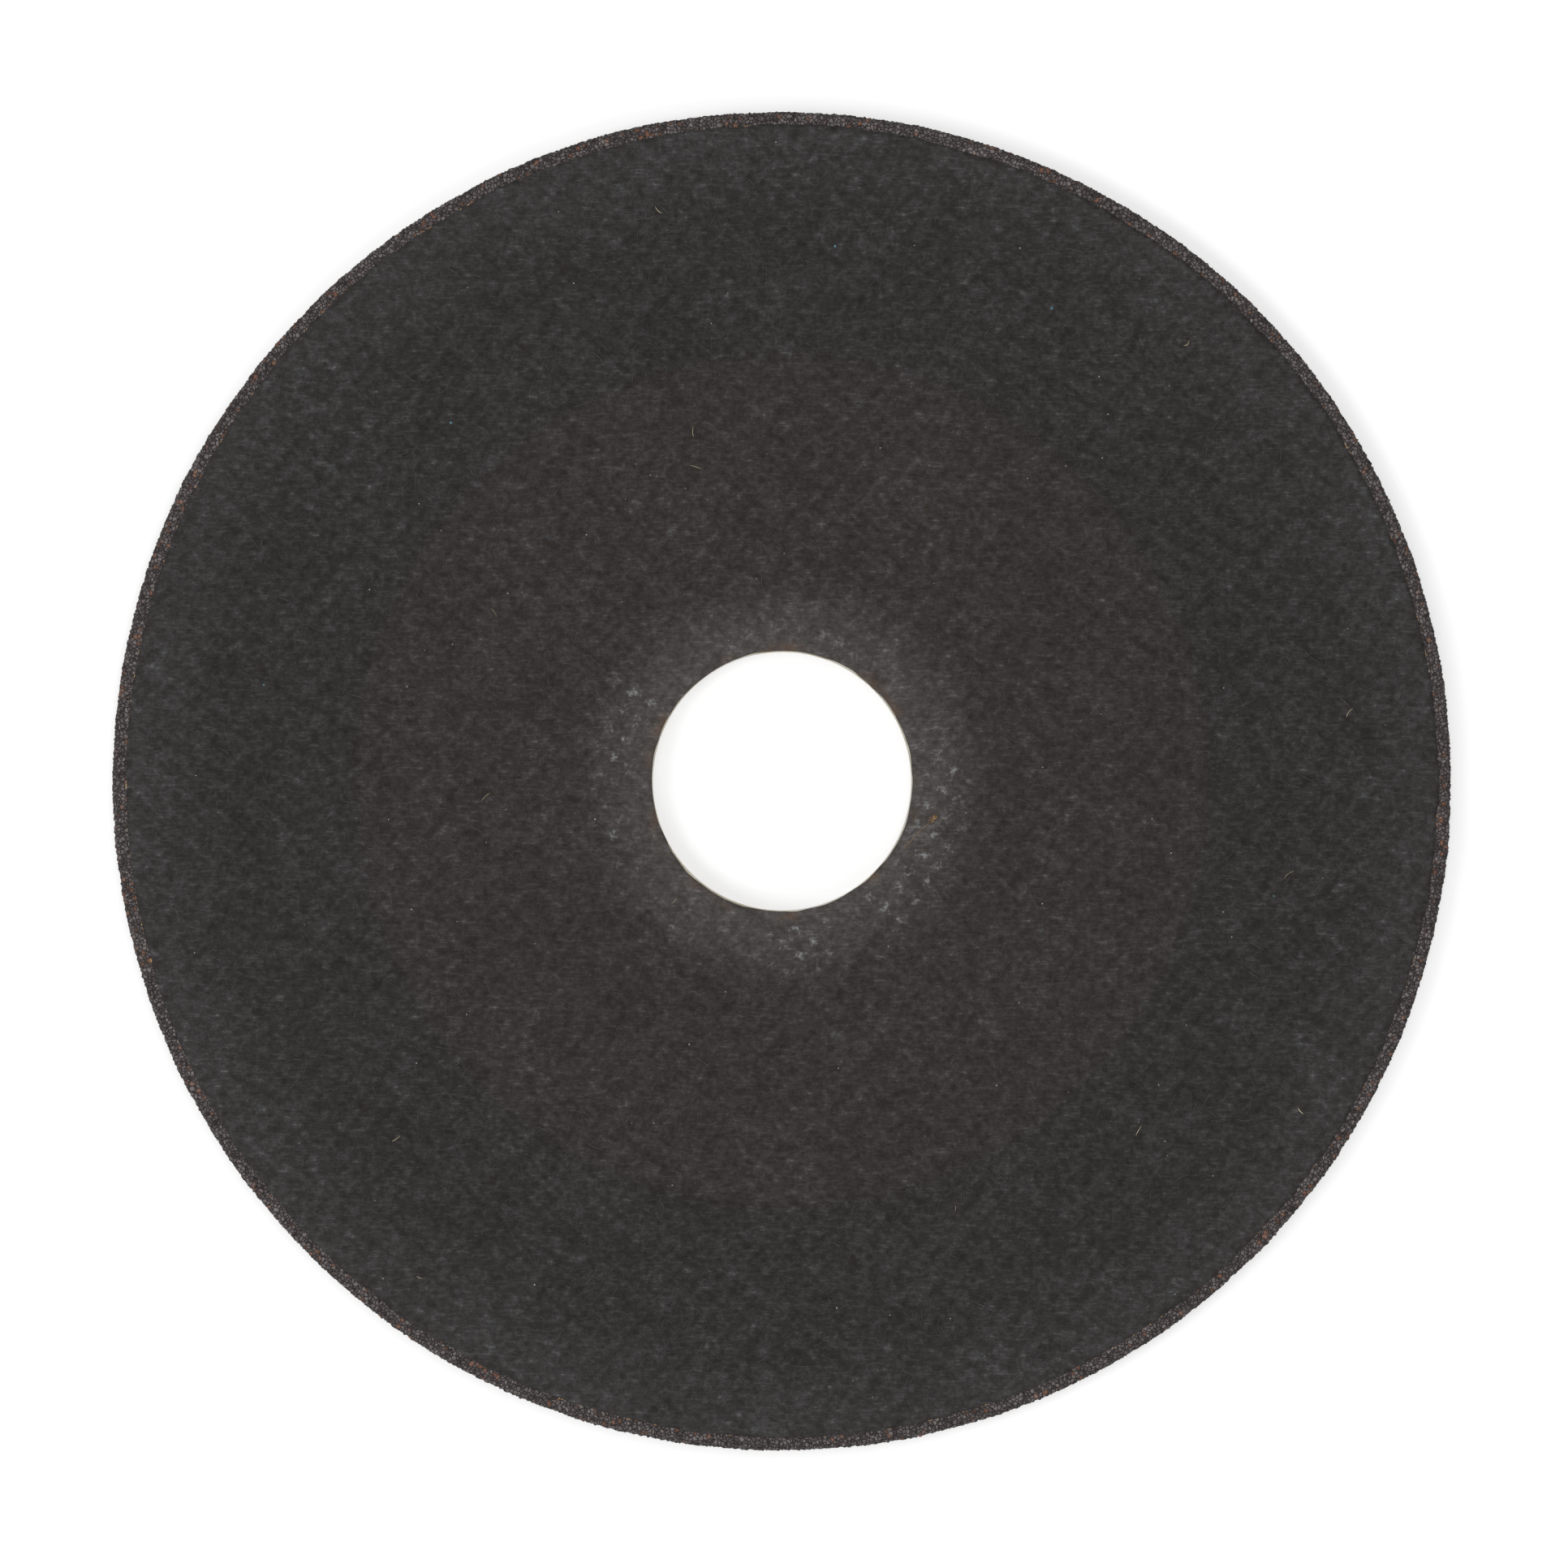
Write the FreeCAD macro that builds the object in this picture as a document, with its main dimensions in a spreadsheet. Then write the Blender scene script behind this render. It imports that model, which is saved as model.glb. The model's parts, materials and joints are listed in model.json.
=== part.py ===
import FreeCAD, Part
import os
import re
import Sketcher

# A flat, resin-bonded abrasive wheel for an angle grinder, lying on its labelled front face.
# The wheel's axis is Z and the origin is the centre of the bore in the plane it rests on.
# From the bottom up: the steel arbor ring's flange, the paper label, the front cover with the
# front mesh's warp yarns bedded in it, the abrasive body with both meshes' weft yarns bedded in
# its faces, the back mesh's warp yarns bedded in the back cover, and the back cover.

SIZES = {
    # abrasive body
    "wheel_diameter": 115.0,
    "rim_height": 1.6,
    "rim_chamfer": 0.25,
    # arbor ring, one piece of drawn sheet steel
    "bore_diameter": 22.23,
    "ring_sheet": 0.25,
    "flange_diameter": 33.5,
    "ring_mouth_radius": 0.22,
    # label and covers
    "label_diameter": 72.8,
    "label_sheet": 0.1,
    "rim_band": 1.1,
    "cover_sheet": 0.1,
    "cover_bore_setback": 0.135,
    # glass meshes: every yarn is a flat strip; a set's shift is how far its middle yarn misses the axis
    "yarn_depth": 0.16,
    "shortest_yarn_gap": 1.0,
    "back_warp_pitch": 1.824,
    "back_warp_width": 0.42,
    "back_warp_pair_gap": 0.2,
    "back_warp_shift": 1.4,
    "back_warp_turn": 47.4,
    "back_weft_pitch": 1.976,
    "back_weft_width": 0.95,
    "back_weft_shift": 0.85,
    "back_weft_turn": -44.5,
    "front_warp_pitch": 1.875,
    "front_warp_width": 0.95,
    "front_warp_shift": 1.35,
    "front_warp_turn": 57.0,
    "front_weft_pitch": 1.768,
    "front_weft_width": 0.9,
    "front_weft_shift": 1.05,
    "front_weft_turn": -34.1,
}

# Sizes that follow from the ones above, as spreadsheet formulas.
LEVELS = {
    "bore_radius": "bore_diameter / 2",
    "collar_radius": "bore_radius + ring_sheet",
    "flange_radius": "flange_diameter / 2",
    "label_radius": "label_diameter / 2",
    "cover_bore_radius": "bore_radius + cover_bore_setback",
    "wheel_radius": "wheel_diameter / 2",
    "cover_radius": "wheel_radius - rim_band",
    "label_base": "ring_sheet",
    "front_face": "label_base + label_sheet",
    "front_warp_base": "front_face + cover_sheet",
    "front_weft_base": "front_warp_base + yarn_depth",
    "core_base": "front_weft_base + yarn_depth",
    "back_face": "front_face + rim_height",
    "back_warp_top": "back_face - cover_sheet",
    "back_warp_base": "back_warp_top - yarn_depth",
    "back_weft_base": "back_warp_base - yarn_depth",
    "yarn_reach": "cover_radius - shortest_yarn_gap",
}

doc = FreeCAD.newDocument("grinding_wheel")
sheet = doc.addObject("Spreadsheet::Sheet", "sizes")


def fill_sheet():
    """Write every size into the spreadsheet, one per row, each under its own alias."""
    rows = [(name, str(value)) for name, value in SIZES.items()]
    rows += [(name, "=" + formula) for name, formula in LEVELS.items()]
    for row, (name, text) in enumerate(rows, start=1):
        sheet.set(f"A{row}", name)
        sheet.set(f"B{row}", text)
        sheet.setAlias(f"B{row}", name)
    doc.recompute()


def size(name):
    return float(sheet.get(name))


def bound(text):
    """Turn a formula in size names into one that reads them from the sheet."""
    names = "|".join(list(SIZES) + list(LEVELS))
    return re.sub(rf"\b({names})\b", r"sizes.\1", text)


def new_body(name):
    body = doc.addObject("PartDesign::Body", name)
    body.Label = name
    body.AllowCompound = True
    return body


def new_sketch(body, name, plane):
    sketch = body.newObject("Sketcher::SketchObject", name)
    origin_plane = [f for f in body.Origin.OriginFeatures if f.Role == plane][0]
    sketch.AttachmentSupport = (origin_plane, "")
    sketch.MapMode = "FlatFace"
    return sketch


def add_polygon(sketch, corners):
    """Draw a closed outline whose corners are pairs of formulas, each held to its two distances."""
    count = len(corners)
    first = sketch.GeometryCount
    points = []
    for across, up in corners:
        points.append(FreeCAD.Vector(evaluate(sketch, across), evaluate(sketch, up), 0))
    for i in range(count):
        sketch.addGeometry(Part.LineSegment(points[i], points[(i + 1) % count]), False)
    for i in range(count):
        sketch.addConstraint(Sketcher.Constraint("Coincident", first + i, 2, first + (i + 1) % count, 1))
    for i, (across, up) in enumerate(corners):
        hold_distance(sketch, "DistanceX", first + i, across, points[i].x)
        hold_distance(sketch, "DistanceY", first + i, up, points[i].y)


def evaluate(sketch, formula):
    value = sketch.evalExpression(bound(formula))
    return getattr(value, "Value", value)


def hold_distance(sketch, kind, line, formula, value):
    index = sketch.addConstraint(Sketcher.Constraint(kind, -1, 1, line, 1, value))
    sketch.setExpression(f"Constraints[{index}]", bound(formula))


def add_circle(sketch, formula):
    centre = FreeCAD.Vector(0, 0, 0)
    radius = evaluate(sketch, formula)
    circle = sketch.addGeometry(Part.Circle(centre, FreeCAD.Vector(0, 0, 1), radius), False)
    sketch.addConstraint(Sketcher.Constraint("Coincident", circle, 3, -1, 1))
    index = sketch.addConstraint(Sketcher.Constraint("Radius", circle, radius))
    sketch.setExpression(f"Constraints[{index}]", bound(formula))


def revolved_body(name, corners):
    """A body turned about Z from an outline given as (radius, height) formulas."""
    body = new_body(name)
    sketch = new_sketch(body, name + "_profile", "XZ_Plane")
    add_polygon(sketch, corners)
    turned = body.newObject("PartDesign::Revolution", name + "_turned")
    turned.Profile = sketch
    turned.ReferenceAxis = (sketch, ["V_Axis"])
    turned.Angle = 360.0
    body.Tip = turned
    return body


def yarn_body(name, yarn, strips, base):
    """One set of parallel yarns, trimmed to the mesh's round outline and to the collar.

    yarn is the start of the set's size names. strips holds each yarn of one pitch as (low edge,
    high edge) formulas across the yarns. The yarns run along the body's own Y axis, and the set's
    turn swings them about Z.
    """
    pitch = yarn + "_pitch"
    shift = yarn + "_shift"
    turn = yarn + "_turn"
    body = new_body(name)
    section = new_sketch(body, name + "_section", "XY_Plane")
    steps = f"floor((yarn_reach - {shift}) / {pitch})"
    for low, high in strips:
        low_edge = f"-{steps} * {pitch} + {shift} + {low}"
        high_edge = f"-{steps} * {pitch} + {shift} + {high}"
        add_polygon(section, [(low_edge, "-cover_radius"), (high_edge, "-cover_radius"),
                              (high_edge, "cover_radius"), (low_edge, "cover_radius")])
    first = body.newObject("PartDesign::Pad", name + "_first")
    first.Profile = section
    first.setExpression("Length", bound("yarn_depth"))

    row = body.newObject("PartDesign::LinearPattern", name + "_row")
    row.Originals = [first]
    row.Direction = (section, ["H_Axis"])
    row.Mode = "Extent"
    row.setExpression("Occurrences", bound(f"2 * {steps} + 1"))
    row.setExpression("Length", bound(f"2 * {steps} * {pitch}"))
    body.Tip = row

    outline = new_sketch(body, name + "_outline", "XY_Plane")
    far = "wheel_diameter"
    add_polygon(outline, [(f"-{far}", f"-{far}"), (far, f"-{far}"), (far, far), (f"-{far}", far)])
    add_circle(outline, "cover_radius")
    add_circle(outline, "collar_radius")
    trim = body.newObject("PartDesign::Pocket", name + "_trim")
    trim.Profile = outline
    trim.Type = "ThroughAll"
    trim.Midplane = True
    body.Tip = trim

    body.setExpression("Placement.Base.z", bound(base))
    body.setExpression("Placement.Rotation.Angle", bound(turn))
    body.Placement.Rotation = FreeCAD.Rotation(FreeCAD.Vector(0, 0, 1), size(turn))
    return body


def cut_from(name, blank, tools):
    """The blank with the beds of the given yarn sets cut into it."""
    bedding = doc.addObject("Part::Compound", name + "_beds")
    bedding.Links = tools
    result = doc.addObject("Part::Cut", name)
    result.Base = blank
    result.Tool = bedding
    result.Refine = False
    result.Label = name
    return result


def single_yarn(width):
    return [(f"-{width} / 2", f"{width} / 2")]


def paired_yarns(width, gap):
    return [(f"-{gap} / 2 - {width}", f"-{gap} / 2"), (f"{gap} / 2", f"{gap} / 2 + {width}")]


def make_ring():
    ring = revolved_body("arbor_ring", [
        ("bore_radius", "0"), ("flange_radius", "0"), ("flange_radius", "ring_sheet"),
        ("collar_radius", "ring_sheet"), ("collar_radius", "back_warp_top"),
        ("bore_radius", "back_warp_top"),
    ])
    doc.recompute()
    turned = ring.Tip
    mouth = ring.newObject("PartDesign::Fillet", "arbor_ring_mouth")
    mouth.Base = (turned, [mouth_edge(turned.Shape)])
    mouth.setExpression("Radius", bound("ring_mouth_radius"))
    ring.Tip = mouth
    return ring


def mouth_edge(shape):
    """The name of the circle where the bore meets the underside of the flange."""
    for number, edge in enumerate(shape.Edges, start=1):
        if edge.Curve.TypeId != "Part::GeomCircle":
            continue
        at_bore = abs(edge.Curve.Radius - size("bore_radius")) < 1e-6
        if at_bore and abs(edge.Curve.Center.z) < 1e-6:
            return f"Edge{number}"
    raise RuntimeError("the ring has no mouth edge")


def make_label():
    return revolved_body("label", [
        ("collar_radius", "label_base"), ("label_radius", "label_base"),
        ("label_radius", "front_face"), ("collar_radius", "front_face"),
    ])


def make_meshes():
    back_pair = paired_yarns("back_warp_width", "back_warp_pair_gap")
    back_weft = single_yarn("back_weft_width")
    front_warp = single_yarn("front_warp_width")
    front_weft = single_yarn("front_weft_width")
    return {
        "back_warp": yarn_body("back_mesh_warp", "back_warp", back_pair, "back_warp_base"),
        "back_weft": yarn_body("back_mesh_weft", "back_weft", back_weft, "back_weft_base"),
        "front_warp": yarn_body("front_mesh_warp", "front_warp", front_warp, "front_warp_base"),
        "front_weft": yarn_body("front_mesh_weft", "front_weft", front_weft, "front_weft_base"),
    }


def make_covers(meshes):
    back_blank = revolved_body("back_cover_blank", [
        ("cover_bore_radius", "back_warp_top"), ("collar_radius", "back_warp_top"),
        ("collar_radius", "back_warp_base"), ("cover_radius", "back_warp_base"),
        ("cover_radius", "back_face"), ("cover_bore_radius", "back_face"),
    ])
    front_blank = revolved_body("front_cover_blank", [
        ("collar_radius", "front_face"), ("cover_radius", "front_face"),
        ("cover_radius", "front_weft_base"), ("collar_radius", "front_weft_base"),
    ])
    back = cut_from("back_cover", back_blank, [meshes["back_warp"]])
    front = cut_from("front_cover", front_blank, [meshes["front_warp"]])
    return back, front


def make_abrasive(meshes):
    rim_low = "front_face + rim_chamfer"
    rim_high = "back_face - rim_chamfer"
    rim_edge = "wheel_radius - rim_chamfer"
    blank = revolved_body("abrasive_blank", [
        ("collar_radius", "front_weft_base"), ("cover_radius", "front_weft_base"),
        ("cover_radius", "front_face"), (rim_edge, "front_face"), ("wheel_radius", rim_low),
        ("wheel_radius", rim_high), (rim_edge, "back_face"), ("cover_radius", "back_face"),
        ("cover_radius", "back_warp_base"), ("collar_radius", "back_warp_base"),
    ])
    return cut_from("abrasive_body", blank, [meshes["back_weft"], meshes["front_weft"]])


def check_document():
    for item in doc.Objects:
        if "Invalid" in item.State or "Error" in item.State:
            raise RuntimeError(f"{item.Label} is {item.State}")


def write_nodes(nodes):
    os.makedirs("parts", exist_ok=True)
    for node in nodes:
        shape = node.Shape
        if shape.isNull() or not shape.isValid():
            raise RuntimeError(f"{node.Label} has no valid shape")
        shape.exportStep(f"parts/{node.Label}.step")
        print(f"{node.Label}: {len(shape.Solids)} solids, {len(shape.Faces)} faces, {shape.Volume:.2f} mm3")


fill_sheet()
arbor_ring = make_ring()
label = make_label()
yarn_sets = make_meshes()
back_cover, front_cover = make_covers(yarn_sets)
abrasive_body = make_abrasive(yarn_sets)
doc.recompute()
check_document()
write_nodes([arbor_ring, label, front_cover, abrasive_body, back_cover] + list(yarn_sets.values()))
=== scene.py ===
import json
import math

import bpy
import numpy as np
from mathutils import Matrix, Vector


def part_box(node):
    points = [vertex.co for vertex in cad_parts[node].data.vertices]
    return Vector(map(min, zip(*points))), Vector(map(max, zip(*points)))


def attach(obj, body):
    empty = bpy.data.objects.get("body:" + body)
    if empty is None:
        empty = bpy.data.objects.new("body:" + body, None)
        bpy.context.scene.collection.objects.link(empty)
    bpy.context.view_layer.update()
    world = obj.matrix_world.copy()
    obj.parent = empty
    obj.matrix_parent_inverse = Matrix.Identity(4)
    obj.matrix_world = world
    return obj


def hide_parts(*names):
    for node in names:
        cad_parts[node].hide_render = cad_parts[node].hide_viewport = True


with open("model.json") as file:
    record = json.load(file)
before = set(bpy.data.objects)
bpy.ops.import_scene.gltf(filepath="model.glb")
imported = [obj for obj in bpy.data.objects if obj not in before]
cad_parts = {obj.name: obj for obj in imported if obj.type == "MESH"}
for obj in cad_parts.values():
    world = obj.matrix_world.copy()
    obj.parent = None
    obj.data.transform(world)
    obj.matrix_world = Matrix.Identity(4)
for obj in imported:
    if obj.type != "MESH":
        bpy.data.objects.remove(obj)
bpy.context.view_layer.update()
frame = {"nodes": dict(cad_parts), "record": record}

MM = 0.001
rng = np.random.default_rng(115)

# Sizes in millimetres, from the CAD frame; the ring's sheet is the one that the frame doesn't give.
COVER_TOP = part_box("back_cover")[1].z / MM
COVER_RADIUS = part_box("back_cover")[1].x / MM
FRONT_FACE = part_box("front_cover")[0].z / MM
FRONT_COVER_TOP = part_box("front_cover")[1].z / MM
COVER_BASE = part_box("back_cover")[0].z / MM
WHEEL_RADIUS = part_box("abrasive_body")[1].x / MM
FLANGE_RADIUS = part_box("arbor_ring")[1].x / MM
LABEL_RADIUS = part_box("label")[1].x / MM
LABEL_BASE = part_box("label")[0].z / MM
BORE_RADIUS = [m for m in frame["record"]["mounts"] if m["kind"] == "bore"][0]["dims"]["r_mm"]
RING_SHEET = 0.25
COLLAR_RADIUS = BORE_RADIUS + RING_SHEET

# The two weaves that press through, each as two yarn sets:
# (spacing, direction across the yarns in degrees, shift of one yarn from the axis).
LENO = ((0.912, 47.4, 0.04), (0.988, -44.5, 0.85))
PLAIN = ((1.875, 57.0, 1.35), (1.768, -34.1, 1.05))

# Cells of the plain sheets' rings, and the room they leave before their cut edge
SHEET_STEP, SHEET_CELL, EDGE_CELL, EDGE_ROOM = 0.42, 0.48, 0.4, 0.3


# Noise and weave, over arrays of millimetres

def value_noise(x, y, cell, seed):
    """Smooth noise from -1 to 1 with features about one cell across."""
    grid = np.random.default_rng(seed).uniform(-1, 1, (256, 256))
    u, v = x / cell + 1000.0, y / cell + 1000.0
    i, j = np.floor(u).astype(int), np.floor(v).astype(int)
    a, b = u - i, v - j
    a, b = a * a * (3 - 2 * a), b * b * (3 - 2 * b)
    low = grid[i % 256, j % 256] * (1 - a) + grid[(i + 1) % 256, j % 256] * a
    high = grid[i % 256, (j + 1) % 256] * (1 - a) + grid[(i + 1) % 256, (j + 1) % 256] * a
    return low * (1 - b) + high * b


def across(x, y, turn):
    angle = math.radians(turn)
    return x * math.cos(angle) + y * math.sin(angle)


def weave_height(x, y, weave):
    """A plain weave's surface, -1 to 1: yarns rise and dip by turns."""
    (pitch_u, turn_u, shift_u), (pitch_v, turn_v, shift_v) = weave
    u = (across(x, y, turn_u) - shift_u) / pitch_u
    v = (across(x, y, turn_v) - shift_v) / pitch_v
    ridges = 0.5 * (np.cos(2 * np.pi * u) + np.cos(2 * np.pi * v))
    return 0.7 * ridges + 0.3 * np.cos(np.pi * u) * np.cos(np.pi * v)


def smooth_step(low, high, x):
    f = np.clip((x - low) / (high - low), 0, 1)
    return f * f * (3 - 2 * f)


def round_noise(angle, count, seed):
    """Noise round a circle with about count features."""
    radius = count / (2 * math.pi)
    return value_noise(radius * np.cos(angle), radius * np.sin(angle), 1.0, seed)


# Meshes

def new_mesh(name, points, faces, material, smooth=True):
    mesh = bpy.data.meshes.new(name)
    mesh.from_pydata([tuple(p) for p in np.asarray(points) * MM], [], faces)
    mesh.update()
    if smooth:
        mesh.shade_smooth()
    mesh.materials.append(material)
    piece = bpy.data.objects.new(name, mesh)
    bpy.context.scene.collection.objects.link(piece)
    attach(piece, "root")
    return piece


def ring_points(count, turn=0.0):
    return (np.arange(count) + turn) * 2 * math.pi / count


def stitch(first, n_first, second, n_second, flip=False):
    """Triangles between two closed rings of vertices, the second outside the first."""
    faces, i, j = [], 0, 0
    while i < n_first or j < n_second:
        if j * n_first <= i * n_second and j < n_second:
            face = (first + i % n_first, second + j % n_second, second + (j + 1) % n_second)
            j += 1
        else:
            face = (first + i % n_first, second + j % n_second, first + (i + 1) % n_first)
            i += 1
        faces.append(face[::-1] if flip else face)
    return faces


def sheet_mesh(name, rings, height, under, material, side=1):
    """A closed round sheet with a detailed face.

    rings is [(radius, cell)], height(x, y, r) the face's height, under the far side's height, and
    side 1 for a face that looks up or -1 for one that looks down. An edge wanders through its radii.
    """
    points, faces, starts = [], [], []
    for index, (radius, cell) in enumerate(rings):
        count = max(24, int(2 * math.pi * float(np.mean(radius(np.zeros(1)))) / cell))
        angle = ring_points(count, 0.5 * (index % 2))
        r = radius(angle)
        x, y = r * np.cos(angle), r * np.sin(angle)
        starts.append((len(points), count))
        points.extend(np.column_stack([x, y, height(x, y, r)]))
        if index:
            faces += stitch(*starts[index - 1], *starts[index], flip=side < 0)
    for start, count in (starts[0], starts[-1]):
        base = np.array(points[start:start + count])
        base[:, 2] = under
        starts.append((len(points), count))
        points.extend(base)
    inner_low, outer_low = starts[-2], starts[-1]
    faces += stitch(*starts[-3], *outer_low, flip=side < 0)
    faces += stitch(*inner_low, *starts[0], flip=side < 0)
    faces += stitch(*inner_low, *outer_low, flip=side > 0)
    return new_mesh(name, points, faces, material)


def lathe_mesh(name, profile, count, shape, material):
    """A closed turned solid: profile is (radius, height) pairs going round, shape moves the points."""
    angle = ring_points(count)
    r, a = np.meshgrid([p[0] for p in profile], angle, indexing="ij")
    z = np.meshgrid([p[1] for p in profile], angle, indexing="ij")[0]
    r, z = shape(r, z, a)
    points = np.column_stack([(r * np.cos(a)).ravel(), (r * np.sin(a)).ravel(), z.ravel()])
    faces, rows = [], len(profile)
    for i in range(rows):
        low, high = i * count, (i + 1) % rows * count
        for j in range(count):
            k = (j + 1) % count
            faces.append((low + j, low + k, high + k, high + j))
    return new_mesh(name, points, faces, material)


def grain_heights(s, t, wrap, cell, seed):
    """Heights of bonded grains over an unrolled strip: tilted facets, 0 in the crevices."""
    pick = np.random.default_rng(seed)
    columns = int(wrap / cell)
    jitter = pick.uniform(0.1, 0.9, (columns, 64, 2))
    level = pick.uniform(0.25, 1.0, (columns, 64))
    tilt = pick.normal(0, 0.5, (columns, 64, 2))
    u, v = s / wrap * columns, t / cell + 20
    best = np.full(u.shape, 9.0)
    second = np.full(u.shape, 9.0)
    height = np.zeros(u.shape)
    for di in (-1, 0, 1):
        for dj in (-1, 0, 1):
            i, j = np.floor(u).astype(int) + di, np.floor(v).astype(int) + dj
            spot = jitter[i % columns, j % 64]
            du, dv = u - i - spot[..., 0], v - j - spot[..., 1]
            gap = np.hypot(du, dv)
            lean = tilt[i % columns, j % 64]
            here = level[i % columns, j % 64] + du * lean[..., 0] + dv * lean[..., 1]
            nearer = gap < best
            second = np.where(nearer, best, np.minimum(second, gap))
            height = np.where(nearer, here, height)
            best = np.where(nearer, gap, best)
    return np.clip(height, 0, 1.2) * smooth_step(0.0, 0.25, second - best)


# Materials

def srgb(r, g, b):
    """A display colour, 0 to 255, as the linear colour that a shader takes."""
    linear = [c / 255 / 12.92 if c <= 10 else ((c / 255 + 0.055) / 1.055) ** 2.4 for c in (r, g, b)]
    return tuple(linear) + (1,)


class Material:
    """A principled material with its nodes made by short calls. Coordinates are millimetres."""

    def __init__(self, name):
        self.material = bpy.data.materials.new(name)
        self.material.use_nodes = True
        self.tree = self.material.node_tree
        self.shader = self.tree.nodes["Principled BSDF"]
        coordinates = self.tree.nodes.new("ShaderNodeTexCoord").outputs["Object"]
        scaled = self.tree.nodes.new("ShaderNodeVectorMath")
        scaled.operation = "SCALE"
        scaled.inputs["Scale"].default_value = 1 / MM
        self.tree.links.new(coordinates, scaled.inputs[0])
        self.place = scaled.outputs[0]

    def feed(self, socket, value):
        if isinstance(value, bpy.types.NodeSocket):
            self.tree.links.new(value, socket)
        else:
            socket.default_value = value

    def math(self, operation, first, second=0.0):
        node = self.tree.nodes.new("ShaderNodeMath")
        node.operation = operation
        self.feed(node.inputs[0], first)
        self.feed(node.inputs[1], second)
        return node.outputs[0]

    def turned(self, angle, stretch=(1, 1, 1), move=0.0):
        node = self.tree.nodes.new("ShaderNodeMapping")
        node.inputs["Rotation"].default_value = (0, 0, math.radians(-angle))
        node.inputs["Scale"].default_value = stretch
        node.inputs["Location"].default_value = (move, move, 0)
        self.tree.links.new(self.place, node.inputs["Vector"])
        return node.outputs[0]

    def noise(self, scale, detail=2.0, rough=0.5, place=None):
        node = self.tree.nodes.new("ShaderNodeTexNoise")
        node.inputs["Scale"].default_value = scale
        node.inputs["Detail"].default_value = detail
        node.inputs["Roughness"].default_value = rough
        self.tree.links.new(place or self.place, node.inputs["Vector"])
        return node.outputs["Fac"]

    def cells(self, scale, output, feature="F1"):
        node = self.tree.nodes.new("ShaderNodeTexVoronoi")
        node.feature = feature
        node.inputs["Scale"].default_value = scale
        self.tree.links.new(self.place, node.inputs["Vector"])
        return node.outputs[output]

    def band(self, value, low, high, to_low=0.0, to_high=1.0):
        node = self.tree.nodes.new("ShaderNodeMapRange")
        node.interpolation_type = "SMOOTHSTEP"
        for name, number in zip(("From Min", "From Max", "To Min", "To Max"), (low, high, to_low, to_high)):
            node.inputs[name].default_value = number
        self.tree.links.new(value, node.inputs["Value"])
        return node.outputs["Result"]

    def ramp(self, value, stops):
        node = self.tree.nodes.new("ShaderNodeValToRGB")
        elements = node.color_ramp.elements
        while len(elements) < len(stops):
            elements.new(0.5)
        for element, (position, colour) in zip(elements, stops):
            element.position = position
            element.color = colour
        self.tree.links.new(value, node.inputs[0])
        return node.outputs[0]

    def tint(self, factor, base, other, blend="MIX"):
        node = self.tree.nodes.new("ShaderNodeMix")
        node.data_type = "RGBA"
        node.blend_type = blend
        self.feed(node.inputs["Factor"], factor)
        self.feed(node.inputs["A"], base)
        self.feed(node.inputs["B"], other)
        return node.outputs["Result"]

    def radius(self):
        split = self.tree.nodes.new("ShaderNodeSeparateXYZ")
        self.tree.links.new(self.place, split.inputs[0])
        squares = [self.math("POWER", split.outputs[axis], 2.0) for axis in (0, 1)]
        return self.math("SQRT", self.math("ADD", *squares))

    def ridges(self, pitch, turn, shift):
        """A yarn set as a cosine, 1 on each yarn."""
        split = self.tree.nodes.new("ShaderNodeSeparateXYZ")
        self.tree.links.new(self.turned(turn), split.inputs[0])
        phase = self.math("MULTIPLY", self.math("SUBTRACT", split.outputs[0], shift), 2 * math.pi / pitch)
        return self.math("COSINE", phase)

    def bump(self, height, distance, strength=1.0):
        node = self.tree.nodes.new("ShaderNodeBump")
        node.inputs["Strength"].default_value = strength
        node.inputs["Distance"].default_value = distance * MM
        self.tree.links.new(height, node.inputs["Height"])
        self.tree.links.new(node.outputs[0], self.shader.inputs["Normal"])

    def finish(self, colour, rough, specular=0.5, metallic=0.0):
        self.feed(self.shader.inputs["Base Color"], colour)
        self.feed(self.shader.inputs["Roughness"], rough)
        self.shader.inputs["Specular IOR Level"].default_value = specular
        self.shader.inputs["Metallic"].default_value = metallic
        return self.material


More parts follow.
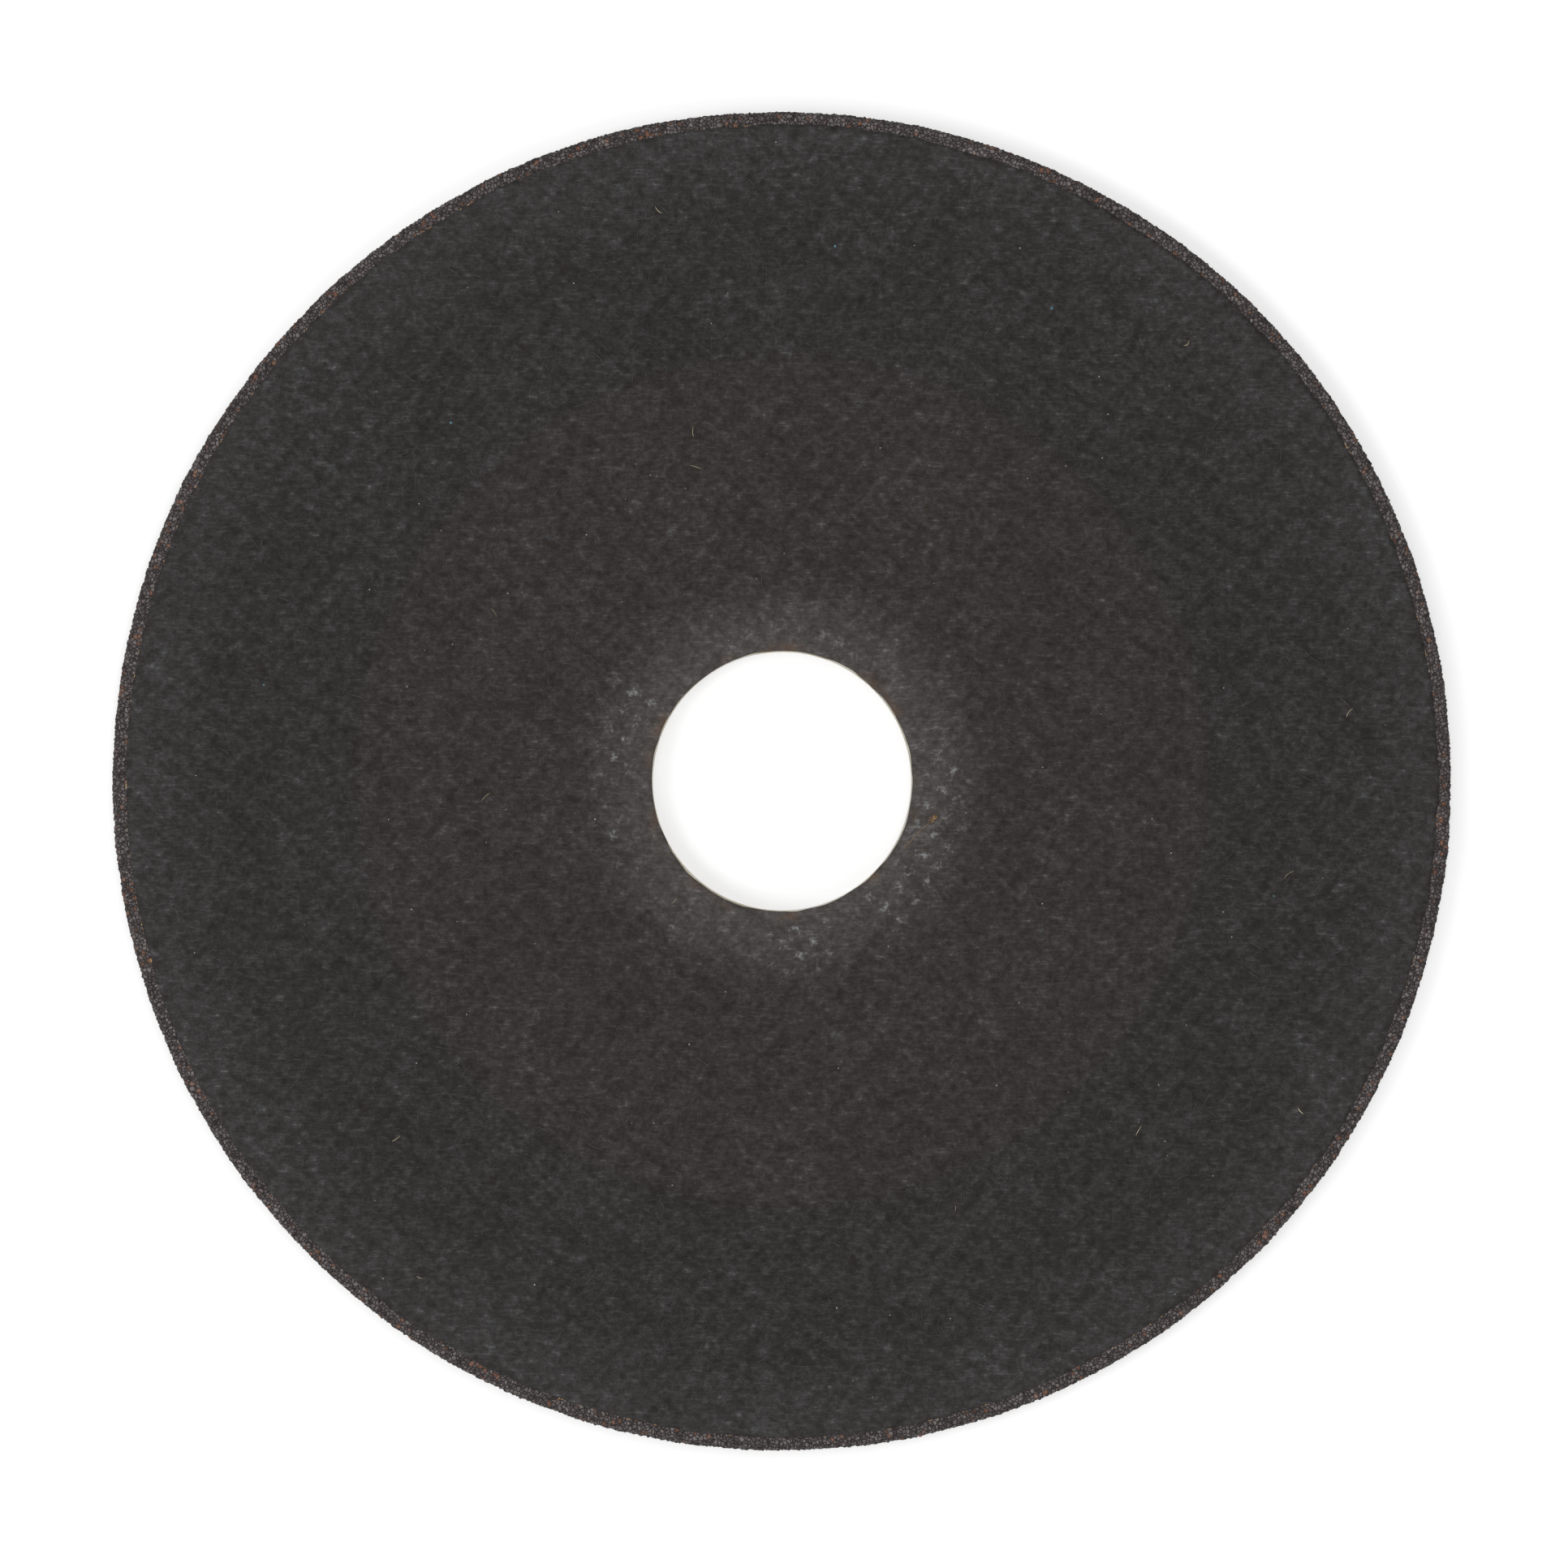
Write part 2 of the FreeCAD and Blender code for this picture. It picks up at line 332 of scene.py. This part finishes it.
def felt_material(name, with_hub):
    """Resin-soaked black non-woven: pale fibre strokes over dark gaps, with both weaves pressed in."""
    m = Material(name)
    cloud = m.noise(0.12, 3, 0.6)
    clump = m.noise(0.85, 6, 0.8)
    grain = m.noise(2.4, 4, 0.75)
    strokes = None
    for index, angle in enumerate((-34, 56, 10, 80, -62)):
        streak = m.noise(1.0, 2, 0.55, m.turned(angle, (0.55, 3.4, 1), 7.3 * index))
        pale = m.band(streak, 0.56, 0.74)
        strokes = pale if strokes is None else m.math("MAXIMUM", strokes, pale)
    leno = m.math("ADD", m.ridges(*LENO[0]), m.ridges(*LENO[1]))
    plain = m.math("ADD", m.ridges(*PLAIN[0]), m.ridges(*PLAIN[1]))
    tone = m.math("MULTIPLY", clump, 0.95)
    tone = m.math("ADD", tone, m.math("MULTIPLY", grain, 0.85))
    tone = m.math("ADD", tone, m.math("MULTIPLY", cloud, 0.16))
    tone = m.math("ADD", tone, m.math("MULTIPLY", strokes, 0.17))
    tone = m.math("ADD", tone, m.math("MULTIPLY", leno, 0.018))
    tone = m.math("ADD", tone, m.math("MULTIPLY", plain, 0.020))
    tone = m.math("SUBTRACT", tone, 0.52)
    colour = m.ramp(tone, [
        (0.0, srgb(27, 24, 23)), (0.28, srgb(37, 34, 33)), (0.50, srgb(48, 45.5, 44.5)),
        (0.68, srgb(59, 57.5, 57.5)), (0.84, srgb(80, 80, 82)), (1.0, srgb(120, 122, 124))])
    radius = m.radius()
    over_label = m.band(radius, LABEL_RADIUS - 0.6, LABEL_RADIUS + 0.6, 1.0, 0.0)
    colour = m.tint(over_label, colour, (1.14, 1.09, 1.06, 1), "MULTIPLY")
    # Lighter towards the rim.
    rim_lightening = m.band(radius, COVER_RADIUS - 9, COVER_RADIUS, 0.0, 1.0)
    colour = m.tint(rim_lightening, colour, (1.30, 1.32, 1.34, 1), "MULTIPLY")
    rough = m.band(tone, 0.3, 0.9, 0.92, 0.7)
    relief = m.math("ADD", m.math("MULTIPLY", grain, 0.7), m.math("MULTIPLY", clump, 1.0))
    relief = m.math("ADD", relief, m.math("MULTIPLY", strokes, 0.35))
    relief = m.math("ADD", relief, m.math("MULTIPLY", leno, 0.06))
    if with_hub:
        # Painted sheen: the felt round the hub is lightened in colour to stand in for the shine of its
        # glossier surface; the same mask lowers the roughness there, which is real gloss.
        hub_gloss_and_painted_sheen = m.band(radius, COLLAR_RADIUS, FLANGE_RADIUS + 2.5, 1.0, 0.0)
        colour = m.tint(hub_gloss_and_painted_sheen, colour, (1.85, 1.85, 1.85, 1), "MULTIPLY")
        # Painted glints: pale specks on the weave knuckles round the hub, standing in for reflections of
        # the lamps.
        rough_weave = m.math("ADD", m.math("MULTIPLY", plain, 0.45), m.math("MULTIPLY", grain, 6.0))
        knuckle = m.band(rough_weave, 3.5, 4.7)
        patch = m.band(m.noise(0.13, 1, 0.5), 0.44, 0.60)
        ring = m.math("MULTIPLY", m.band(radius, FLANGE_RADIUS - 2.2, FLANGE_RADIUS + 0.6, 1.0, 0.0),
                      m.band(radius, COLLAR_RADIUS + 0.2, COLLAR_RADIUS + 1.6))
        painted_glint = m.math("MULTIPLY", m.math("MULTIPLY", knuckle, patch), ring)
        colour = m.tint(m.math("MULTIPLY", painted_glint, 0.8), colour, srgb(138, 140, 140))
        rust = m.math("MULTIPLY", m.band(radius, COLLAR_RADIUS, COLLAR_RADIUS + 0.9, 1.0, 0.0),
                      m.band(m.noise(0.4, 2), 0.5, 0.68))
        colour = m.tint(m.math("MULTIPLY", rust, 0.55), colour, srgb(96, 74, 56))
        rough = m.math("SUBTRACT", rough, m.math("MULTIPLY", hub_gloss_and_painted_sheen, 0.3))
    m.bump(relief, 0.05)
    return m.finish(colour, rough, 0.22)


def abrasive_material():
    """Brown-grey bonded grain, darker in the crevices between grains, with a few bright and rusty crystals.
    """
    m = Material("bonded_grain")
    level = m.cells(3.2, "Color")
    crevice = m.band(m.cells(3.2, "Distance", "DISTANCE_TO_EDGE"), 0.0, 0.16)
    mottle = m.noise(1.1, 4, 0.7)
    split = m.tree.nodes.new("ShaderNodeSeparateColor")
    m.tree.links.new(level, split.inputs[0])
    tone = m.math("ADD", m.math("MULTIPLY", split.outputs[0], 0.45), m.math("MULTIPLY", mottle, 0.55))
    colour = m.ramp(tone, [
        (0.0, srgb(52, 46, 45)), (0.35, srgb(78, 72, 71)), (0.55, srgb(98, 91, 90)),
        (0.8, srgb(120, 113, 112)), (1.0, srgb(160, 150, 146))])
    colour = m.tint(crevice, srgb(38, 33, 32), colour)
    rusty = m.band(split.outputs[1], 0.93, 0.97)
    colour = m.tint(m.math("MULTIPLY", rusty, 0.5), colour, srgb(140, 92, 66))
    m.bump(m.math("ADD", crevice, m.noise(6.0, 3)), 0.06)
    return m.finish(colour, m.band(tone, 0.3, 0.8, 0.9, 0.55), 0.3)


def steel_material():
    """Tinned sheet steel, turned lines round the bore, with dull and stained patches."""
    m = Material("tinned_steel")
    split = m.tree.nodes.new("ShaderNodeCombineXYZ")
    m.tree.links.new(m.radius(), split.inputs[0])
    lines = m.noise(9.0, 3, 0.6, split.outputs[0])
    stain = m.noise(0.25, 4, 0.6)
    colour = m.ramp(stain, [
        (0.3, srgb(150, 138, 112)), (0.55, srgb(186, 182, 170)), (0.8, srgb(204, 202, 196))])
    m.bump(lines, 0.01)
    return m.finish(colour, m.band(m.math("ADD", lines, stain), 0.7, 1.3, 0.28, 0.52), 0.5, 1.0)


def paper_material():
    """Blank label paper: pale fibre mottle, the weave pressed in, and one plain printed ring."""
    m = Material("label_paper")
    fibres = m.noise(1.0, 4, 0.65, m.turned(-34, (0.8, 3.0, 1)))
    tone = m.math("ADD", m.math("MULTIPLY", fibres, 0.5), m.math("MULTIPLY", m.noise(3.0, 3), 0.5))
    colour = m.ramp(tone, [
        (0.3, srgb(186, 182, 172)), (0.5, srgb(208, 205, 196)), (0.75, srgb(222, 220, 212))])
    radius = m.radius()
    ring = m.math("MULTIPLY", m.band(radius, LABEL_RADIUS - 5.0, LABEL_RADIUS - 4.9),
                  m.band(radius, LABEL_RADIUS - 2.1, LABEL_RADIUS - 2.0, 1.0, 0.0))
    colour = m.tint(m.math("MULTIPLY", ring, 0.9), colour, srgb(92, 96, 104))
    plain = m.math("ADD", m.ridges(*PLAIN[0]), m.ridges(*PLAIN[1]))
    m.bump(m.math("ADD", m.math("MULTIPLY", plain, 0.6), tone), 0.06)
    return m.finish(colour, m.band(tone, 0.3, 0.7, 0.75, 0.55), 0.3)


def yarn_material():
    """Glass yarn soaked in amber resin, striped along its filaments."""
    m = Material("glass_yarn")
    filaments = m.noise(4.0, 3, 0.6, m.turned(57, (1, 0.1, 1)))
    colour = m.ramp(filaments, [
        (0.3, srgb(132, 98, 52)), (0.6, srgb(176, 142, 90)), (0.8, srgb(206, 186, 146))])
    m.bump(filaments, 0.02)
    return m.finish(colour, m.band(filaments, 0.3, 0.7, 0.35, 0.6), 0.5)


def fibre_material(name, dark, pale):
    """One kind of loose fibre or speck, a little uneven along its length."""
    m = Material(name)
    colour = m.ramp(m.noise(1.6, 3, 0.6), [(0.3, dark), (0.7, pale)])
    m.bump(m.noise(12.0, 2), 0.01)
    return m.finish(colour, m.band(m.noise(3.0, 2), 0.3, 0.7, 0.85, 0.6), 0.2)


# Pieces

def cover_rings(inner, outer):
    """Ring radii and cells from the bore to the rim: fine at the hub, even further out."""
    rings, radius = [], inner
    while radius < outer - 0.3:
        cell = 0.17 if radius < FLANGE_RADIUS else 0.385
        rings.append((radius, cell))
        radius += cell * 0.87
    rings.append((outer, 0.3))
    return rings


def plain_rings(outer, edge):
    """Even rings from the collar to the edge, for a sheet that isn't seen from the back."""
    def round_ring(radius):
        return lambda angle: radius + 0 * angle

    radii = np.arange(COLLAR_RADIUS, outer - EDGE_ROOM, SHEET_STEP)
    return [(round_ring(r), SHEET_CELL) for r in radii] + [(edge, EDGE_CELL)]


def make_back_cover(material):
    inner, outer = BORE_RADIUS + 0.02, COVER_RADIUS

    def bore_edge(angle):
        facets = 0.09 * round_noise(angle, 16, 5)
        return inner + 0.08 + facets + 0.06 * round_noise(angle, 60, 6)

    def rim_edge(angle):
        return outer - 0.02 + 0.10 * round_noise(angle, 90, 7) + 0.08 * round_noise(angle, 420, 8)

    def ring(radius):
        near_bore = np.exp(-(radius - inner) / 0.8)
        near_rim = np.exp(-(outer - radius) / 0.8)
        return lambda angle: (radius + (bore_edge(angle) - inner) * near_bore
                              + (rim_edge(angle) - outer) * near_rim)

    def height(x, y, r):
        hub = smooth_step(FLANGE_RADIUS + 1.5, COLLAR_RADIUS + 1.0, r)
        weave = 0.020 * weave_height(x, y, PLAIN) * (1 + 1.8 * hub)
        felt = 0.014 * value_noise(x, y, 0.9, 11) + 0.012 * value_noise(x, y, 0.45, 12)
        swell = 0.03 * value_noise(x, y, 14.0, 13)
        edge = -0.02 * smooth_step(outer - 0.7, outer, r)
        lip = -0.03 * smooth_step(inner + 0.40, inner, r)
        return COVER_TOP - 0.03 + weave + felt + swell + 0.05 * hub + edge + lip

    rings = [(ring(radius), cell) for radius, cell in cover_rings(inner, outer)]
    piece = sheet_mesh("back_cover_felt", rings, height, COVER_TOP - 0.26, material)
    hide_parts("back_cover")
    return height


def make_front_cover(material):
    def edge(angle):
        return COVER_RADIUS + 0.10 * round_noise(angle, 90, 27) + 0.06 * round_noise(angle, 400, 28)

    def height(x, y, r):
        weave = 0.018 * weave_height(x, y, PLAIN)
        felt = 0.014 * value_noise(x, y, 0.9, 31)
        return FRONT_FACE + 0.02 - weave + felt + 0.08 * smooth_step(COVER_RADIUS - 0.7, COVER_RADIUS, r)

    rings = plain_rings(COVER_RADIUS, edge)
    piece = sheet_mesh("front_cover_felt", rings, height, FRONT_COVER_TOP, material, -1)
    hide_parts("front_cover")


def make_label(material):
    def edge(angle):
        return LABEL_RADIUS + 0.04 * round_noise(angle, 40, 41)

    def height(x, y, r):
        pressed = 0.012 * weave_height(x, y, PLAIN)
        return LABEL_BASE + 0.015 - pressed + 0.02 * smooth_step(LABEL_RADIUS - 0.4, LABEL_RADIUS, r)

    rings = plain_rings(LABEL_RADIUS, edge)
    piece = sheet_mesh("label_sheet", rings, height, LABEL_BASE + 0.1, material, -1)
    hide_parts("label")


def make_abrasive(material):
    """The bonded body: grainy wherever it is bare, plain where the covers lie on it."""
    top, bottom, bevel, shelf = COVER_TOP - 0.04, FRONT_FACE + 0.02, 0.22, COVER_RADIUS - 0.8
    step, coarse, small = 0.12, 0.34, 0.17
    outline = [(COLLAR_RADIUS, FRONT_COVER_TOP), (shelf, FRONT_COVER_TOP)]
    corners = [(shelf, bottom + 0.06), (COVER_RADIUS, bottom + 0.06), (WHEEL_RADIUS - bevel, bottom),
               (WHEEL_RADIUS, bottom + bevel), (WHEEL_RADIUS, top - bevel),
               (WHEEL_RADIUS - bevel, top), (COVER_RADIUS, top - 0.04), (shelf, top - 0.04)]
    for (r0, z0), (r1, z1) in zip(corners, corners[1:]):
        count = max(1, int(math.hypot(r1 - r0, z1 - z0) / step))
        outline += [(r0 + (r1 - r0) * i / count, z0 + (z1 - z0) * i / count) for i in range(count)]
    outline += [corners[-1], (shelf, COVER_BASE), (COLLAR_RADIUS, COVER_BASE)]
    along = np.concatenate([[0], np.cumsum([math.dist(a, b) for a, b in zip(outline, outline[1:])])])

    def shape(r, z, a):
        bare = smooth_step(COVER_RADIUS - 0.25, COVER_RADIUS + 0.15, r)
        t = (along[:, None] - along[2]) * np.ones_like(r)
        around = a * WHEEL_RADIUS
        wrap = 2 * math.pi * WHEEL_RADIUS
        grains = grain_heights(around, t, wrap, coarse, 51)
        fine = grain_heights(around, t, wrap, small, 52)
        rise = (0.16 * grains + 0.05 * fine - 0.13) * bare
        nick = 0.05 * round_noise(a, 130, 53) + 0.05 * round_noise(a, 24, 54)
        middle = 0.5 * (top + bottom)
        out_z = np.clip((z - middle) / (0.5 * (top - bottom)), -1, 1) ** 3
        out_r = np.sqrt(np.clip(1 - out_z ** 2, 0.02, 1))
        return r + rise * out_r + nick * bare, z + 0.6 * rise * out_z

    piece = lathe_mesh("abrasive_body_grain", outline, 2700, shape, material)
    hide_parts("abrasive_body")


def strand(path, radius, sides=3):
    """The vertices and faces of a thin closed strand along a path."""
    points, faces = [], []
    count = len(path)
    heading = np.gradient(path, axis=0)
    for i in range(count):
        ahead = Vector(heading[i]).normalized()
        side = ahead.cross(Vector((0, 0, 1))).normalized()
        up = side.cross(ahead)
        thick = radius * (0.45 if i in (0, count - 1) else 1.0)
        for k in range(sides):
            turn = 2 * math.pi * k / sides
            offset = side * math.cos(turn) * thick + up * math.sin(turn) * thick
            points.append(Vector(path[i]) + offset)
    for i in range(count - 1):
        for k in range(sides):
            low, high = i * sides, (i + 1) * sides
            n = (k + 1) % sides
            faces.append((low + k, low + n, high + n, high + k))
    faces.append(tuple(range(sides))[::-1])
    faces.append(tuple((count - 1) * sides + k for k in range(sides)))
    return points, faces


def strands_mesh(name, paths, radii, material):
    points, faces = [], []
    for path, radius in zip(paths, radii):
        more, sides = strand(path, radius)
        start = len(points)
        points += more
        faces += [tuple(start + i for i in face) for face in sides]
    return new_mesh(name, [tuple(p) for p in points], faces, material)


def scatter(count, inner, outer):
    radius = np.sqrt(rng.uniform(inner ** 2, outer ** 2, count))
    angle = rng.uniform(0, 2 * math.pi, count)
    return radius * np.cos(angle), radius * np.sin(angle)


def make_fibres(name, count, lengths, thick, material, height):
    """Loose fibres lying on the felt, each a gently curved strand."""
    xs, ys = scatter(count, COLLAR_RADIUS + 0.6, COVER_RADIUS - 0.5)
    paths, radii = [], []
    for x, y in zip(xs, ys):
        length = rng.uniform(*lengths)
        heading = rng.choice([-34, 56, rng.uniform(0, 180), rng.uniform(0, 180)]) + rng.normal(0, 12)
        bend = rng.normal(0, 28)
        steps = np.linspace(-0.5, 0.5, 5)
        angle = np.radians(heading + bend * steps)
        px = x + length * steps * np.cos(angle)
        py = y + length * steps * np.sin(angle)
        r = np.minimum(np.hypot(px, py), COVER_RADIUS)
        pz = height(px, py, r) + thick * 0.5 + 0.02 * rng.uniform(0, 1, 5)
        paths.append(np.column_stack([px, py, pz]))
        radii.append(thick * rng.uniform(0.6, 1.2))
    strands_mesh(name, paths, radii, material)


def make_specks(name, count, size, material, height, inner):
    """Tiny angular crumbs on the felt."""
    xs, ys = scatter(count, inner, COVER_RADIUS - 0.6)
    points, faces = [], []
    for x, y in zip(xs, ys):
        s = size * rng.uniform(0.5, 1.3)
        z = float(height(np.array([x]), np.array([y]), np.array([math.hypot(x, y)]))[0])
        start, turn = len(points), rng.uniform(0, 6.3)
        for k in range(5):
            a = turn + 2 * math.pi * k / 5
            reach = s * rng.uniform(0.6, 1.1)
            points.append((x + reach * math.cos(a), y + reach * math.sin(a), z - 0.01))
        points.append((x, y, z + 0.7 * s))
        faces += [(start + k, start + (k + 1) % 5, start + 5) for k in range(5)]
        faces.append(tuple(start + k for k in range(5))[::-1])
    new_mesh(name, points, faces, material, smooth=False)


def make_knot(material, height):
    """A frayed tan yarn end beside the bore, and the long fibre that trails from it."""
    knot_x, knot_y = BORE_RADIUS + 1.9, -3.3
    paths, radii = [], []
    for _ in range(16):
        angle, length = rng.uniform(0, 2 * math.pi), rng.uniform(0.2, 0.6)
        steps = np.linspace(0, 1, 4)
        px = knot_x + length * steps * np.cos(angle + 0.8 * steps)
        py = knot_y + length * steps * np.sin(angle + 0.8 * steps)
        pz = height(px, py, np.hypot(px, py)) + 0.03 + 0.05 * rng.uniform(0, 1)
        paths.append(np.column_stack([px, py, pz]))
        radii.append(0.035)
    steps = np.linspace(0, 1, 9)
    px = knot_x - 3.0 * steps + 0.25 * steps ** 2
    py = knot_y - 2.9 * steps + 0.2 * np.sin(3 * steps)
    pz = height(px, py, np.maximum(np.hypot(px, py), BORE_RADIUS + 0.4)) + 0.05
    paths.append(np.column_stack([px, py, pz]))
    radii.append(0.028)
    strands_mesh("tan_yarn_end", paths, radii, material)


# Stage

def area_lamp(name, place, size, power):
    lamp = bpy.data.lights.new(name, "AREA")
    lamp.shape = "DISK"
    lamp.size = size
    lamp.energy = power
    item = bpy.data.objects.new(name, lamp)
    item.location = place
    item.rotation_euler = (-Vector(place)).to_track_quat("-Z", "Y").to_euler()
    bpy.context.scene.collection.objects.link(item)


def make_stage():
    floor_half = 3.0
    mesh = bpy.data.meshes.new("floor")
    corners = [(-floor_half, -floor_half, 0), (floor_half, -floor_half, 0),
               (floor_half, floor_half, 0), (-floor_half, floor_half, 0)]
    mesh.from_pydata(corners, [], [(0, 1, 2, 3)])
    floor = bpy.data.objects.new("floor", mesh)
    bpy.context.scene.collection.objects.link(floor)
    material = bpy.data.materials.new("floor_white")
    material.use_nodes = True
    tree = material.node_tree
    shader = tree.nodes["Principled BSDF"]
    shader.inputs["Base Color"].default_value = (0.55, 0.55, 0.55, 1)
    shader.inputs["Roughness"].default_value = 0.9
    shader.inputs["Specular IOR Level"].default_value = 0.0
    path = tree.nodes.new("ShaderNodeLightPath")
    seen = tree.nodes.new("ShaderNodeMath")
    seen.operation = "MAXIMUM"
    tree.links.new(path.outputs["Is Camera Ray"], seen.inputs[0])
    tree.links.new(path.outputs["Is Glossy Ray"], seen.inputs[1])
    also = tree.nodes.new("ShaderNodeMath")
    also.operation = "MAXIMUM"
    tree.links.new(seen.outputs[0], also.inputs[0])
    tree.links.new(path.outputs["Is Transmission Ray"], also.inputs[1])
    glow = tree.nodes.new("ShaderNodeMath")
    glow.operation = "MULTIPLY"
    glow.inputs[1].default_value = 0.55
    tree.links.new(also.outputs[0], glow.inputs[0])
    shader.inputs["Emission Color"].default_value = (1, 1, 1, 1)
    tree.links.new(glow.outputs[0], shader.inputs["Emission Strength"])
    mesh.materials.append(material)

    world = bpy.data.worlds.new("studio")
    world.use_nodes = True
    bpy.context.scene.world = world
    nodes, links = world.node_tree.nodes, world.node_tree.links
    background = nodes["Background"]
    background.inputs["Color"].default_value = (1, 1, 1, 1)
    path = nodes.new("ShaderNodeLightPath")
    strength = nodes.new("ShaderNodeMapRange")
    strength.inputs["To Min"].default_value = 0.45
    strength.inputs["To Max"].default_value = 1.0
    links.new(path.outputs["Is Camera Ray"], strength.inputs["Value"])
    links.new(strength.outputs["Result"], background.inputs["Strength"])

    area_lamp("softbox_left", (-0.9, -0.25, 0.9), 0.7, 5.4)
    area_lamp("softbox_near", (-0.1, -1.0, 0.9), 0.7, 3.6)
    area_lamp("softbox_above", (0.2, 0.5, 1.4), 1.0, 4.8)


def make_camera():
    """Straight down on the back face; the wheel sits a little up and left of the frame's centre."""
    frame_width = 0.1347
    distance = 1.1
    data = bpy.data.cameras.new("camera")
    data.sensor_width = 36.0
    data.lens = data.sensor_width * distance / frame_width
    data.clip_end = 20.0
    camera = bpy.data.objects.new("camera", data)
    camera.location = (0.00017, -0.00024, COVER_TOP * MM + distance)
    bpy.context.scene.collection.objects.link(camera)
    bpy.context.scene.camera = camera


def main():
    felt = felt_material("black_felt_back", True)
    surface = make_back_cover(felt)
    make_front_cover(felt_material("black_felt_front", False))
    make_abrasive(abrasive_material())
    make_label(paper_material())
    grey = fibre_material("grey_fibre", srgb(62, 61, 62), srgb(98, 98, 101))
    cream = fibre_material("cream_fibre", srgb(150, 136, 108), srgb(206, 196, 172))
    white = fibre_material("white_crumb", srgb(150, 150, 146), srgb(214, 214, 208))
    teal = fibre_material("teal_crumb", srgb(64, 92, 104), srgb(110, 146, 156))
    tan = fibre_material("tan_yarn", srgb(120, 92, 64), srgb(172, 140, 104))
    make_fibres("felt_fibres", 3600, (0.6, 2.4), 0.022, grey, surface)
    make_fibres("cream_fibres", 14, (0.5, 1.1), 0.035, cream, surface)
    make_specks("white_crumbs", 130, 0.07, white, surface, COLLAR_RADIUS + 0.6)
    make_specks("teal_crumbs", 5, 0.16, teal, surface, 40.0)
    make_knot(tan, surface)
    steel, yarn = steel_material(), yarn_material()
    nodes = frame["nodes"]
    for name in ("arbor_ring", "back_mesh_warp", "back_mesh_weft", "front_mesh_warp", "front_mesh_weft"):
        material = steel if name == "arbor_ring" else yarn
        for slot in nodes[name].material_slots:
            slot.material = material
    make_stage()
    make_camera()
    bpy.context.scene.view_settings.view_transform = "Standard"


main()
